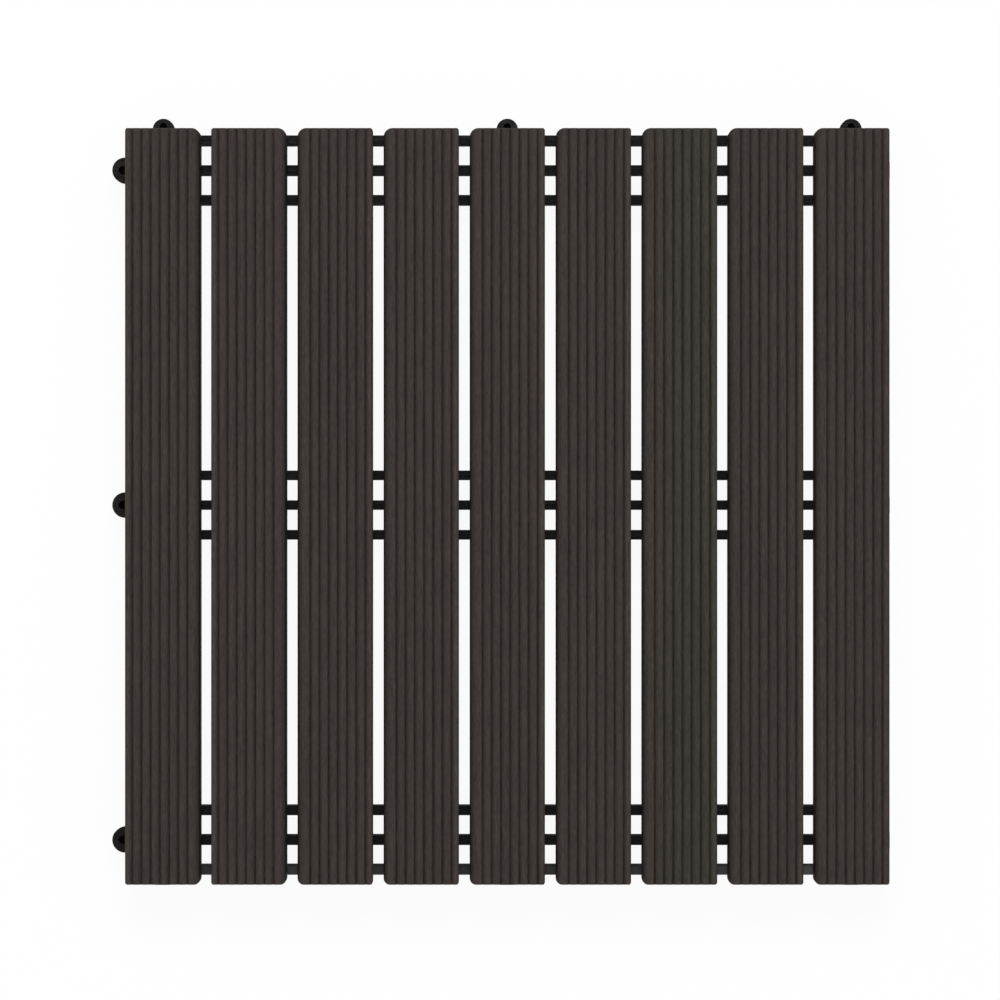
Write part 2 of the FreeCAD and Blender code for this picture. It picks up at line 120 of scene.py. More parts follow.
# Streaks of another tint: slat, tint, middle of the streak and half its width as shares of
# the slat's width from the left, and strength
STREAKS = (
    (2, "cool", 0.00, 0.060, 1.00), (2, "warm", 0.145, 0.050, 1.00), (2, "warm", 0.865, 0.055, 0.80),
    (2, "cool", 1.00, 0.050, 0.60), (3, "warm", 0.955, 0.020, 0.80), (4, "cool", 0.00, 0.030, 0.50),
    (4, "warm", 0.900, 0.032, 0.75), (5, "warm", 0.120, 0.035, 0.75), (7, "warm", 0.155, 0.035, 0.60),
    (7, "olive", 0.65, 0.450, 1.00), (7, "olive", 0.155, 0.040, 0.50), (8, "olive", 0.98, 0.030, 0.60),
    (9, "warm", 0.905, 0.030, 0.50), (9, "warm", 0.985, 0.035, 0.80), (9, "warm", 0.190, 0.040, 0.15),
)
TINTS = ("warm", "cool", "olive")
# Lightness of each slat
TONES = (1.00, 1.01, 1.00, 0.995, 1.00, 1.00, 1.00, 0.99, 1.00)
# Layers of the grain: cells to the millimetre across and along the slat, detail, roughness,
# shift, and weight in the lightness
GRAIN = {
    "fibres": (2.9, 0.46, 3.0, 0.60, 0.0, 2.35),
    "strands": (1.7, 0.08, 3.0, 0.55, 7.0, 1.25),
    "hairs": (4.2, 1.3, 1.0, 0.55, 29.0, 0.65),
    "bands": (0.35, 0.008, 2.0, 0.55, 3.0, 0.35),
    "mottle": (0.05, 0.02, 2.0, 0.55, 11.0, 0.15),
}
GRAIN_LEVEL = -1.375
# A tint's even strength, and the part that comes and goes along the slat
TINT_EVEN, TINT_WANDER = 0.7, 0.6
# Painted shade on the rounding of the broad edge and where it turns down: strength, and where
# each begins and is full, as shares of the slat's width from the narrow edge
PAINTED_EDGE_SHADES = ((0.27, 0.90, 0.97), (0.65, 0.968, 0.998))
# Painted shade on the groove's wall and painted light at its bottom, for how light falls into a
# groove: strength, and where each begins and is full, as shares of the groove's depth
PAINTED_GROOVE_SHADE = (0.22, 0.0, 0.32)
PAINTED_GROOVE_LIGHT = (-0.22, 0.5, 1.0)
# Painted highlight on the land beside the narrow edge: strength, and where it ends on either side
PAINTED_HIGHLIGHT = 0.22
HIGHLIGHT_INNER, HIGHLIGHT_OUTER = (0.085, 0.055), (0.008, 0.032)
# Pale flecks: levels of the speckle between which one appears, its strength, and what is added
# towards the narrow edge
FLECK_LEVELS = (0.735, 0.79)
FLECK_EVEN, FLECK_NARROW = 0.30, (0.50, 0.25, 0.0)

# Colour of the rails, with places in metres

# Square of the upward part of a face's direction, from top to wall
TOP_TO_WALL = (0.5, 0.1)
# Painted light on the front bar's top, which lies open at the tile's edge: where it begins and is
# full, its even and its cloudy part, and what is added towards the right
FRONT_BAR = (-0.1405, -0.1425)
FRONT_LIGHT_EVEN, FRONT_LIGHT_CLOUDY = 0.10, 0.5
FRONT_LIGHT_RIGHT = (0.5, 0.06, 0.115)
# Lighter streaks on top: levels of the streaks between which they show, their even and their
# cloudy part, their strength at the front, and the painted light added up to the rear, nearer the lamp
TOP_STREAK_LEVELS = (0.40, 0.70)
TOP_STREAK_EVEN, TOP_STREAK_CLOUDY = 0.35, 0.9
TOP_STREAK_FRONT, PAINTED_REAR_LIGHT = 0.6, (0.8, -0.14, 0.14)
# Walls: painted shade, as the share of those streaks which they lack, and their own even lighter tone
PAINTED_WALL_SHADE, WALL_EVEN = 0.85, 0.18


# Values on the sockets of a material's nodes

class Value:
    """A socket in a material. Arithmetic on it adds Math nodes."""

    def __init__(self, finish, socket):
        self.finish = finish
        self.socket = socket

    def math(self, operation, first, second):
        return self.finish.node("ShaderNodeMath", {"operation": operation}, {0: first, 1: second})

    def __add__(self, other):
        return self.math("ADD", self, other)

    def __radd__(self, other):
        return self.math("ADD", other, self)

    def __sub__(self, other):
        return self.math("SUBTRACT", self, other)

    def __rsub__(self, other):
        return self.math("SUBTRACT", other, self)

    def __mul__(self, other):
        return self.math("MULTIPLY", self, other)

    def __rmul__(self, other):
        return self.math("MULTIPLY", other, self)


class Finish:
    """The nodes of a new material, given by its name, or of the world."""

    def __init__(self, owner):
        self.owner = bpy.data.materials.new(owner) if isinstance(owner, str) else owner
        self.owner.use_nodes = True
        self.tree = self.owner.node_tree
        self.tree.nodes.clear()

    def node(self, kind, settings=None, inputs=None, output=0):
        """Add a node: its settings first, then the values or links of its sockets."""
        made = self.tree.nodes.new(kind)
        for name, setting in (settings or {}).items():
            setattr(made, name, setting)
        for name, given in (inputs or {}).items():
            socket = self.find(made.inputs, name)
            if isinstance(given, Value):
                self.tree.links.new(given.socket, socket)
            else:
                socket.default_value = given
        return Value(self, self.find(made.outputs, output)) if made.outputs else None

    @staticmethod
    def find(sockets, name):
        """A socket by its number, identifier or name."""
        if isinstance(name, int):
            return sockets[name]
        for socket in sockets:
            if name in (socket.identifier, socket.name):
                return socket
        raise KeyError(name)

    def place(self):
        return self.node("ShaderNodeTexCoord", output="Object")

    def stored(self, name):
        """A number kept on the mesh."""
        return self.node("ShaderNodeAttribute", {"attribute_name": name}, output="Fac")

    def noise(self, across, along, upright, detail=3.0, roughness=0.55, shift=0.0):
        """Noise around 0.5 with so many cells to the millimetre along X, Y and Z."""
        scaled = self.node("ShaderNodeVectorMath", {"operation": "MULTIPLY_ADD"},
                           {0: self.place(), 1: (across / MM, along / MM, upright / MM),
                            2: (shift, shift, shift)})
        return self.node("ShaderNodeTexNoise", {"noise_dimensions": "3D"},
                         {"Vector": scaled, "Scale": 1.0, "Detail": detail, "Roughness": roughness})

    def ramp(self, value, low, high):
        """A smooth step from 0 at low to 1 at high."""
        return self.node("ShaderNodeMapRange", {"interpolation_type": "SMOOTHSTEP"},
                         {"Value": value, "From Min": low, "From Max": high})

    def zone(self, value, strength, low, high):
        """A smooth step from 0 at low to a strength at high."""
        return strength * self.ramp(value, low, high)

    def mix(self, factor, first, second, blend="MIX"):
        """Blend two colours."""
        return self.node("ShaderNodeMix", {"data_type": "RGBA", "blend_type": blend, "clamp_factor": True},
                         {"Factor_Float": factor, "A_Color": first, "B_Color": second}, "Result_Color")

    def shade(self, colour, strength):
        """A colour times a number."""
        return self.node("ShaderNodeVectorMath", {"operation": "SCALE"}, {0: colour, "Scale": strength})

    def bump(self, height, depth):
        """Relief of a depth in millimetres."""
        return self.node("ShaderNodeBump", {}, {"Strength": 1.0, "Distance": depth * MM, "Height": height})

    def surface(self, inputs):
        """Finish the material with one shader, and return it."""
        self.show(self.node("ShaderNodeBsdfPrincipled", {}, inputs))
        return self.owner

    def show(self, shader):
        self.node("ShaderNodeOutputMaterial", {}, {"Surface": shader})


def opaque(colour):
    return (*colour, 1.0)


# Settings

class SlatSettings(bpy.types.PropertyGroup):
    """Section and finish of the slats."""
    right_facing: IntProperty(
        name="Right-facing slats", default=2,
        description="Slats from the left whose broad rounded edge faces right")
    groove_count: IntProperty(name="Grooves", default=7, description="Grooves on a slat")
    groove_depth: FloatProperty(name="Groove depth", default=0.9 * MM, subtype="DISTANCE",
                                description="Depth of a groove below the crown")
    gentle_run: FloatProperty(name="Long side", default=1.9 * MM, subtype="DISTANCE",
                              description="Width of the long side of a reed")
    steep_run: FloatProperty(name="Steep wall", default=0.3 * MM, subtype="DISTANCE",
                             description="Width of the steep wall of a reed")
    shoulder_run: FloatProperty(name="Shoulder", default=0.7 * MM, subtype="DISTANCE",
                                description="Width of the rounding above the steep wall")
    shoulder_drop: FloatProperty(name="Shoulder drop", default=0.15 * MM, subtype="DISTANCE",
                                 description="Height of the rounding above the steep wall")
    broad_land: FloatProperty(name="Broad land", default=5.0 * MM, subtype="DISTANCE",
                              description="Broad edge to the nearest groove")
    narrow_land: FloatProperty(name="Narrow land", default=2.9 * MM, subtype="DISTANCE",
                               description="Narrow edge to the nearest groove")
    broad_edge: FloatProperty(name="Broad edge radius", default=3.0 * MM, subtype="DISTANCE",
                              description="Rounding along the broad edge")
    narrow_edge: FloatProperty(name="Narrow edge radius", default=0.8 * MM, subtype="DISTANCE",
                               description="Rounding along the narrow edge")
    underside: FloatProperty(name="Underside chamfer", default=0.8 * MM, subtype="DISTANCE",
                             description="Chamfer along both lower edges")
    broad_rear: FloatProperty(name="Broad rear corner", default=3.5 * MM, subtype="DISTANCE",
                              description="Plan radius of the broad edge's rear corner")
    broad_front: FloatProperty(name="Broad front corner", default=2.5 * MM, subtype="DISTANCE",
                               description="Plan radius of the broad edge's front corner")
    narrow_corner: FloatProperty(name="Narrow corners", default=1.0 * MM, subtype="DISTANCE",
                                 description="Plan radius of both corners of the narrow edge")
    end_break: FloatProperty(name="End edge", default=0.3 * MM, subtype="DISTANCE",
                             description="Broken edge around both sawn ends")
    crown: FloatVectorProperty(name="Crown", default=(0.0328, 0.0256, 0.0217), subtype="COLOR",
                               description="Colour of the reeds")
    # The groove colour is a little lighter than the crown: painted light at the bottom of the grooves
    groove: FloatVectorProperty(name="Groove", default=(0.0334, 0.0260, 0.0220), subtype="COLOR",
                                description="Colour at the bottom of the grooves")
    warm: FloatVectorProperty(name="Warm streak", default=(1.12, 0.91, 0.98), subtype="XYZ",
                              description="Tint of the reddish streaks, as factors of red, green and blue")
    cool: FloatVectorProperty(name="Cool streak", default=(0.91, 1.01, 1.03), subtype="XYZ",
                              description="Tint of the bluish edges, as factors of red, green and blue")
    olive: FloatVectorProperty(name="Olive streak", default=(0.95, 1.04, 0.89), subtype="XYZ",
                               description="Tint of the greenish slat, as factors of red, green and blue")
    fleck: FloatVectorProperty(name="Fleck", default=(0.075, 0.068, 0.060), subtype="COLOR",
                               description="Colour of the pale wood flecks")


class RailSettings(bpy.types.PropertyGroup):
    """Finish of the moulded rails."""
    edge: FloatProperty(name="Edge rounding", default=0.25 * MM, subtype="DISTANCE",
                        description="Rounding of the moulded edges")
    plastic: FloatVectorProperty(name="Plastic", default=(0.0022, 0.0022, 0.0024), subtype="COLOR",
                                 description="Colour of the black plastic")
    # Colour of the lighter streaks; their share carries painted light towards the rear and painted shade
    # on the walls
    streaks_and_painted_light: FloatVectorProperty(name="Streaks and painted light", default=(0.0200, 0.0200, 0.0198), subtype="COLOR",
                              description="Colour of the lighter streaks")
    # Painted light: the front bar's top, open to the lamp at the tile's edge, is drawn this much lighter
    front_bar_light: FloatVectorProperty(name="Front bar light", default=(0.1250, 0.1250, 0.1220), subtype="COLOR",
                                 description="Colour of the front bar's top")


class ScrewSettings(bpy.types.PropertyGroup):
    """Form and finish of the screws."""
    head_flats: FloatProperty(name="Across flats", default=5.5 * MM, subtype="DISTANCE",
                              description="Width across the flats of the hexagon head")
    head_height: FloatProperty(name="Head height", default=2.35 * MM, subtype="DISTANCE",
                               description="Height of the head")
    diameter: FloatProperty(name="Thread", default=3.5 * MM, subtype="DISTANCE",
                            description="Outer diameter of the thread")
    length: FloatProperty(name="Length", default=9.5 * MM, subtype="DISTANCE",
                          description="Length under the head")
    point: FloatProperty(name="Point", default=2.5 * MM, subtype="DISTANCE",
                         description="Length of the point")
    lead: FloatProperty(name="Lead", default=1.5 * MM, subtype="DISTANCE",
                        description="Rise of the thread in one turn")
    aside: FloatProperty(name="Aside", default=5.85 * MM, subtype="DISTANCE",
                         description="Middle of a rail to its screws, behind it and in front by turns")
    steel: FloatVectorProperty(name="Steel", default=(0.56, 0.56, 0.57), subtype="COLOR",
                               description="Colour of the screws")
    dulled: FloatVectorProperty(name="Dulled", default=(0.40, 0.39, 0.38), subtype="COLOR",
                                description="Colour of their dulled patches")


class StudioSettings(bpy.types.PropertyGroup):
    """Floor, light and camera."""
    floor: FloatVectorProperty(name="Floor", default=(0.94, 0.94, 0.94), subtype="COLOR",
                               description="Colour of the floor")
    seen_white: FloatProperty(name="Seen white", default=0.94, min=0.0, max=1.0, subtype="FACTOR",
                              description="Share of plain white in what a camera sees of the floor")
    dome: FloatProperty(name="Dome", default=0.60, description="Strength of the light from all round")
    lamp_power: FloatProperty(name="Lamp power", default=58.0, unit="POWER",
                              description="Power of the lamp over the tile")
    lamp_size: FloatProperty(name="Lamp size", default=1.6, subtype="DISTANCE",
                             description="Side of the square lamp")
    lamp_height: FloatProperty(name="Lamp height", default=2.5, subtype="DISTANCE",
                               description="Height of the lamp above the floor")
    lamp_rear: FloatProperty(name="Lamp offset", default=2.0, subtype="DISTANCE",
                             description="How far the lamp stands behind the tile's centre")
    camera_x: FloatProperty(name="Camera X", default=-2.85 * MM, subtype="DISTANCE",
                            description="Place of the camera across the slats")
    camera_y: FloatProperty(name="Camera Y", default=2.0 * MM, subtype="DISTANCE",
                            description="Place of the camera along the slats")
    camera_height: FloatProperty(name="Camera height", default=2224 * MM, subtype="DISTANCE",
                                 description="Height of the camera above the floor")
    lens: FloatProperty(name="Lens", default=202.6, subtype="DISTANCE_CAMERA", unit="CAMERA",
                        description="Focal length on a sensor 36 mm wide")


# Meshes

def new_object(name, vertices, faces, numbers=None, sharp=35):
    """An object from its vertices and faces, with numbers kept for each vertex."""
    mesh = bpy.data.meshes.new(name)
    mesh.from_pydata(vertices, [], faces)
    mesh.update()
    mesh.polygons.foreach_set("use_smooth", [True] * len(mesh.polygons))
    mesh.set_sharp_from_angle(angle=math.radians(sharp))
    for key, values in (numbers or {}).items():
        kept = mesh.attributes.new(key, "FLOAT", "POINT")
        kept.data.foreach_set("value", values)
    made = bpy.data.objects.new(name, mesh)
    bpy.context.scene.collection.objects.link(made)
    return made


def edge_rounding(radius, steps):
    """Points (distance from the edge, drop below the crown) of a quarter circle, inwards."""
    turns = [math.radians(90 * step / steps) for step in range(steps + 1)]
    return [(radius * (1 - math.cos(turn)), radius * (1 - math.sin(turn))) for turn in turns]


def groove_points(slat, bottom, top):
    """Points over the long side of a reed, the groove beside it and the next shoulder."""
    reed = (slat.gentle_run ** 2 + slat.groove_depth ** 2) / (2 * slat.groove_depth)
    low = top - slat.groove_depth
    wall_top = top - slat.shoulder_drop
    wall_end = bottom + slat.steep_run
    points = []
    for share in LONG_SIDE_SHARES:
        run = share * slat.gentle_run
        points.append((bottom - slat.gentle_run + run, top - reed + math.sqrt(reed ** 2 - run ** 2)))
    points.extend((bottom + across * MM, low + up * MM) for across, up in BOTTOM_POINTS)
    points.append((bottom + WALL_SHARE * slat.steep_run, low + WALL_SHARE * (wall_top - low)))
    points.append((wall_end + WALL_HEAD[0] * MM, wall_top + WALL_HEAD[1] * MM))
    points.extend((wall_end + share * slat.shoulder_run, top - drop * slat.shoulder_drop)
                  for share, drop in SHOULDER_POINTS)
    return points


def slat_profile(slat, width, top):
    """Points (distance from the narrow edge, height) over the reeded face."""
    points = [(across, top - drop) for across, drop in edge_rounding(slat.narrow_edge, NARROW_STEPS)]
    pitch = (width - slat.broad_land - slat.narrow_land) / (slat.groove_count - 1)
    for number in range(slat.groove_count):
        points.extend(groove_points(slat, slat.narrow_land + number * pitch, top))
    broad = reversed(edge_rounding(slat.broad_edge, BROAD_STEPS))
    points.extend((width - across, top - drop) for across, drop in broad)
    return points


def corner_cut(distance, radius):
    """How far a rounded corner falls back from the end, at a distance from the edge."""
    if distance >= radius:
        return 0.0
    return radius - math.sqrt(max(radius ** 2 - (radius - distance) ** 2, 0.0))


def tinted(number, tint, share):
    """Strength of one tint on a slat, at a share of its width from the left."""
    total = 0.0
    for slat, kind, middle, half, strength in STREAKS:
        if slat == number and kind == tint:
            total += strength * math.exp(-((share - middle) / half) ** 2)
    return min(total, 1.0)


def slat_faces(rows):
    """Faces round the sections. Each point's number is followed by that of the point below it."""
    faces = []
    last = len(rows[0]) - 1
    for near, far in zip(rows, rows[1:]):
        for step in range(last):
            faces.append((near[step], near[step + 1], far[step + 1], far[step]))
            faces.append((far[step] + 1, far[step + 1] + 1, near[step + 1] + 1, near[step] + 1))
        faces.append((near[0] + 1, near[0], far[0], far[0] + 1))
        faces.append((far[last] + 1, far[last], near[last], near[last] + 1))
    front, rear = rows[0], rows[-1]
    for step in range(last):
        faces.append((front[step] + 1, front[step + 1] + 1, front[step + 1], front[step]))
        faces.append((rear[step], rear[step + 1], rear[step + 1] + 1, rear[step] + 1))
    return faces


def make_slat(slat, number):
    """One slat, with numbers for its finish: groove depth, place across, tone and tints."""
    low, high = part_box(f"slat_{number}")
    width = high.x - low.x
    height = high.z - low.z
    right_facing = number <= slat.right_facing
    profile = slat_profile(slat, width, height)
    vertices, depth, edge, shares = [], [], [], []
    rows = []
    for end, inset in SLAT_SECTIONS:
        row = []
        radius = slat.broad_rear if end > 0 else slat.broad_front
        drop = 0.0 if inset else slat.end_break
        for across, up in profile:
            cut = max(corner_cut(width - across, radius), corner_cut(across, slat.narrow_corner))
            reach = cut + inset * slat.end_break
            x = low.x + across if right_facing else high.x - across
            y = high.y - reach if end > 0 else low.y + reach
            chamfer = max(slat.underside - across, slat.underside - (width - across), 0.0)
            row.append(len(vertices))
            vertices.append((x, y, low.z + up - drop))
            vertices.append((x, y, low.z + chamfer + drop))
            sunk = min(max((height - up) / slat.groove_depth, 0.0), 1.0)
            inner = slat.narrow_edge < across < width - slat.broad_edge
            depth.extend((sunk if inner else 0.0, 0.0))
            edge.extend((across / width,) * 2)
            shares.extend(((x - low.x) / width,) * 2)
        rows.append(row)
    faces = slat_faces(rows)
    if not right_facing:
        faces = [face[::-1] for face in faces]
    numbers = {"depth": depth, "edge": edge, "tone": [TONES[number - 1]] * len(vertices)}
    for tint in TINTS:
        numbers[tint] = [tinted(number, tint, share) for share in shares]
    return new_object(f"reeded_slat_{number}", vertices, faces, numbers)


def composite_finish(slat):
    """Brushed wood-plastic composite: grain along the slat, tinted streaks, pale flecks, with painted
    shade in the grooves and on the broad edge and a painted highlight beside the narrow edge.
    """
    finish = Finish("composite")
    depth = finish.stored("depth")
    edge = finish.stored("edge")
    wander = finish.noise(0.05, 0.012, 0.05, detail=1.0, shift=23.0)
    specks = finish.noise(2.6, 1.1, 2.6, detail=2.0, roughness=0.5, shift=17.0)
    layers = {}
    grain = GRAIN_LEVEL
    for name, (across, along, detail, roughness, shift, weight) in GRAIN.items():
        layers[name] = finish.noise(across, along, across, detail, roughness, shift)
        grain = grain + weight * layers[name]
    # Painted shade on the broad edge's rounding and where it turns down
    painted_edge_shade = finish.zone(edge, *PAINTED_EDGE_SHADES[0]) + finish.zone(edge, *PAINTED_EDGE_SHADES[1])
    # Painted shade on the grooves' walls and painted light at their bottoms
    painted_groove_shading = finish.zone(depth, *PAINTED_GROOVE_SHADE) + finish.zone(depth, *PAINTED_GROOVE_LIGHT)
    # Painted highlight on the land beside the narrow edge
    narrow_land_highlight = finish.ramp(edge, *HIGHLIGHT_INNER) * finish.ramp(edge, *HIGHLIGHT_OUTER)
    # The colour turns to the lighter groove colour towards a groove's bottom: painted light
    colour = finish.mix(finish.ramp(depth, 0.0, 0.5), opaque(slat.crown), opaque(slat.groove))
    for tint in TINTS:
        strength = finish.stored(tint) * (TINT_EVEN + TINT_WANDER * wander)
        tinted_colour = finish.mix(1.0, colour, opaque(getattr(slat, tint)), "MULTIPLY")
        colour = finish.mix(strength, colour, tinted_colour)
    # The grain's lightness, with the painted highlight added and the painted shade taken off
    lightness = grain * finish.stored("tone") * (1.0 + PAINTED_HIGHLIGHT * narrow_land_highlight - painted_edge_shade - painted_groove_shading)
    flecks = finish.ramp(specks, *FLECK_LEVELS) * (FLECK_EVEN + finish.zone(edge, *FLECK_NARROW))
    colour = finish.mix(flecks, finish.shade(colour, lightness), opaque(slat.fleck))
    relief = layers["fibres"] * 0.65 + layers["strands"] * 0.35 + flecks * 0.25
    return finish.surface({
        "Base Color": colour,
        "Roughness": 0.60 + 0.18 * layers["fibres"] - finish.zone(depth, 0.10, 0.0, 0.4),
        "Specular IOR Level": 0.22,
        "Normal": finish.bump(relief, 0.09),
    })


def plastic_finish(rail):
    """Black moulded plastic: fine texture, lighter streaks on top with painted light towards the rear,
    painted shade on the walls and painted light on the front bar's top.
    """
    finish = Finish("base_plastic")
    across, along = (finish.node("ShaderNodeSeparateXYZ", {}, {0: finish.place()}, axis) for axis in "XY")
    facing = finish.node("ShaderNodeNewGeometry", output="Normal")
    upright = finish.node("ShaderNodeSeparateXYZ", {}, {0: facing}, "Z")
    wall = finish.ramp(upright * upright, *TOP_TO_WALL)
    texture = finish.noise(4.5, 4.5, 4.5, detail=2.0)
    streaks = finish.noise(0.10, 1.9, 0.9, detail=3.0, shift=5.0)
    cloud = finish.noise(0.03, 0.04, 0.06, detail=3.0, shift=13.0)
    # Painted light on the front bar's top, which lies open at the tile's edge
    pale = FRONT_LIGHT_EVEN + FRONT_LIGHT_CLOUDY * cloud + finish.zone(across, *FRONT_LIGHT_RIGHT)
    front_bar_light = finish.ramp(along, *FRONT_BAR) * (1.0 - wall) * pale
    # Painted light, growing towards the rear where the lamp stands
    lit_from_rear = TOP_STREAK_FRONT + finish.zone(along, *PAINTED_REAR_LIGHT)
    patchy = finish.ramp(streaks, *TOP_STREAK_LEVELS) * (TOP_STREAK_EVEN + TOP_STREAK_CLOUDY * cloud)
    # Painted shade on the walls, which lack most of the streaks' lighter colour
    streaks_and_painted_light = patchy * (1.0 - PAINTED_WALL_SHADE * wall) * lit_from_rear
    colour = finish.mix(streaks_and_painted_light + WALL_EVEN * wall, opaque(rail.plastic), opaque(rail.streaks_and_painted_light))
    # The painted light laid over the front bar's top
    colour = finish.mix(front_bar_light, colour, opaque(rail.front_bar_light))
    return finish.surface({
        "Base Color": colour,
        "Roughness": 0.42 + 0.16 * texture + 0.12 * streaks_and_painted_light + 0.46 * wall,
        "Specular IOR Level": 0.12,
        "Normal": finish.bump(texture * 0.5 + streaks * 0.5, 0.04),
    })


def steel_finish(screw):
    """Plain stainless steel with fine marks and a little dulling."""
    finish = Finish("screw_steel")
    marks = finish.noise(6.0, 6.0, 1.2, detail=3.0)
    cloud = finish.noise(0.4, 0.4, 0.4, detail=3.0, shift=9.0)
    dulling = finish.zone(cloud, 0.5, 0.35, 0.75)
    return finish.surface({
        "Base Color": finish.mix(dulling, opaque(screw.steel), opaque(screw.dulled)),
        "Metallic": 1.0,
        "Roughness": 0.26 + 0.16 * marks + 0.10 * cloud,
        "Normal": finish.bump(marks, 0.015),
    })


def ring(radius, height, sides, turn=0.0):
    """Points of a circle around the screw's axis."""
    return [(radius * math.cos(turn + 2 * math.pi * side / sides),
             radius * math.sin(turn + 2 * math.pi * side / sides), height) for side in range(sides)]


def hexagon_ring(radius, height, limit, turn):
    """A ring that follows the hexagon, cut back to a circle where that is smaller."""
    points = []
    for side in range(HEAD_SIDES):
        angle = turn + 2 * math.pi * side / HEAD_SIDES
        from_corner = (angle - turn) % (math.pi / 3) - math.pi / 6
        flat = radius * math.cos(math.pi / 6) / math.cos(from_corner)
        reach = min(flat, limit)
        points.append((reach * math.cos(angle), reach * math.sin(angle), height))
    return points


def lathe(rings, vertices, faces):
    """Join rings of the same count, and close the first and the last one."""
    sides = len(rings[0])
    start = len(vertices)
    for points in rings:
        vertices.extend(points)
    for level in range(len(rings) - 1):
        for side in range(sides):
            after = (side + 1) % sides
            base = start + level * sides
            faces.append((base + side, base + after, base + sides + after, base + sides + side))
    faces.append(tuple(start + side for side in reversed(range(sides))))
    end = start + (len(rings) - 1) * sides
    faces.append(tuple(end + side for side in range(sides)))


def head_rings(screw):
    """Rings of the head, from the dish in its top face to the core under its bearing face."""
    turn = math.pi / 6
    corner = screw.head_flats / 2 / math.cos(turn)
    top = -screw.head_height
    rings = [ring(corner * share, top + depth * MM, HEAD_SIDES, turn) for share, depth in DISH]
    rings.extend(hexagon_ring(corner, top + height * MM, corner * share, turn)
                 for height, share in CHAMFER)
    rings.append(hexagon_ring(corner, -BEARING_DROP * MM, corner, turn))
    rings.append(hexagon_ring(corner * BEARING_SHARE, 0.0, corner, turn))
    rings.append(ring(screw.diameter * CORE_SHARE, 0.0, HEAD_SIDES, turn))
    return rings


def thread_lines(screw):
    """Sections of the thread, each with the foot below, the crest and the foot above."""
    core = screw.diameter * CORE_SHARE
    crest = screw.diameter / 2
    shoulder = screw.length - screw.point
    lines = []
    for step in range(int(screw.length / screw.lead * SHANK_SIDES) - 2):
        angle = 2 * math.pi * step / SHANK_SIDES
        climb = THREAD_START * MM + step * screw.lead / SHANK_SIDES
        inner, outer = core, crest
        if climb > shoulder:
            fade = max(1 - (climb - shoulder) / screw.point, 0.0)
            inner, outer = core * fade, crest * (CREST_LEFT + (1 - CREST_LEFT) * fade)
        foot, head = climb - THREAD_BELOW * MM, climb + THREAD_ABOVE * MM
        if foot >= 0 and climb < screw.length - THREAD_END * MM:
            cos, sin = math.cos(angle), math.sin(angle)
            lines.append([(inner * cos, inner * sin, foot), (outer * cos, outer * sin, climb),
                          (inner * cos, inner * sin, head)])
    return lines


def screw_mesh(screw):
    """One screw, point up, with the head's bearing face at height 0."""
    vertices, faces = [], []
    lathe(head_rings(screw), vertices, faces)

    lines = thread_lines(screw)
    start = len(vertices)
    end = start + 3 * (len(lines) - 1)
    for line in lines:
        vertices.extend(line)
    for base in range(start, end, 3):
        for edge, after in ((0, 1), (1, 2), (2, 0)):
            faces.append((base + edge, base + 3 + edge, base + 3 + after, base + after))
    faces.append((start, start + 1, start + 2))
    faces.append((end + 2, end + 1, end))

    core = screw.diameter * CORE_SHARE
    shoulder = screw.length - screw.point
    shank = ((core, 0.0), (core, shoulder), (core * HALFWAY_SHARE, shoulder + screw.point / 2),
             (core * TIP_SHARE, screw.length))
    lathe([ring(radius, height, SHANK_SIDES) for radius, height in shank], vertices, faces)
    return vertices, faces


def screw_places(screw):
    """Bearing faces of the screws: behind the middle bar and in front of it by turns."""
    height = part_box("slat_screws")[0].z + screw.head_height
    places = []
    for number, node in enumerate(SLATS, 1):
        low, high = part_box(node)
        aside = screw.aside if number % 2 else -screw.aside
        places.extend(((low.x + high.x) / 2, rail_middle(rail) + aside, height) for rail in RAILS)
    return places


def rail_middle(rail):
    """Middle of a rail along Y, from the face that its bars share with the front or the rear."""
    low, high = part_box(rail)
    middle_low, middle_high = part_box("rail_middle")
    half = (middle_high.y - middle_low.y) / 2
    return high.y - half if rail == "rail_front" else low.y + half


# Operators

class TILE_OT_slats(bpy.types.Operator):
    """Build the nine reeded composite slats"""
    bl_idname = "deck_tile.slats"
    bl_label = "Slats"

    def execute(self, context):
        settings = context.scene.tile_slats
        finish = composite_finish(settings)
        for number, node in enumerate(SLATS, 1):
            piece = make_slat(settings, number)
            piece.data.materials.append(finish)
            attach(piece, "root")
            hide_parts(node)
        return {"FINISHED"}


class TILE_OT_rails(bpy.types.Operator):
    """Round the edges of the moulded rails and give them their black plastic"""
    bl_idname = "deck_tile.rails"
    bl_label = "Rails"

    def execute(self, context):
        settings = context.scene.tile_rails
        finish = plastic_finish(settings)
        for node in RAILS:
            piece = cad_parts[node]
            piece.data.materials.clear()
            piece.data.materials.append(finish)
            weld = piece.modifiers.new("weld", "WELD")
            weld.merge_threshold = 0.002 * MM
            edge = piece.modifiers.new("edge", "BEVEL")
            edge.width = settings.edge
            edge.segments = 2
            edge.limit_method = "ANGLE"
            edge.angle_limit = math.radians(40)
            edge.harden_normals = True
        return {"FINISHED"}


class TILE_OT_screws(bpy.types.Operator):
    """Build the screws that hold the slats from below"""
    bl_idname = "deck_tile.screws"
    bl_label = "Screws"

    def execute(self, context):
        settings = context.scene.tile_screws
        points, loops = screw_mesh(settings)
        draw = random.Random(TURN_SEED)
        vertices, faces = [], []
        for x, y, z in screw_places(settings):
            turn = draw.uniform(0, math.pi / 3)
            cos, sin = math.cos(turn), math.sin(turn)
            start = len(vertices)
            vertices.extend((x + px * cos - py * sin, y + px * sin + py * cos, z + pz)
                            for px, py, pz in points)
            faces.extend(tuple(start + corner for corner in loop) for loop in loops)
        piece = new_object("hexagon_screws", vertices, faces, sharp=28)
        piece.data.materials.append(steel_finish(settings))
        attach(piece, "root")
        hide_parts("slat_screws")
        return {"FINISHED"}


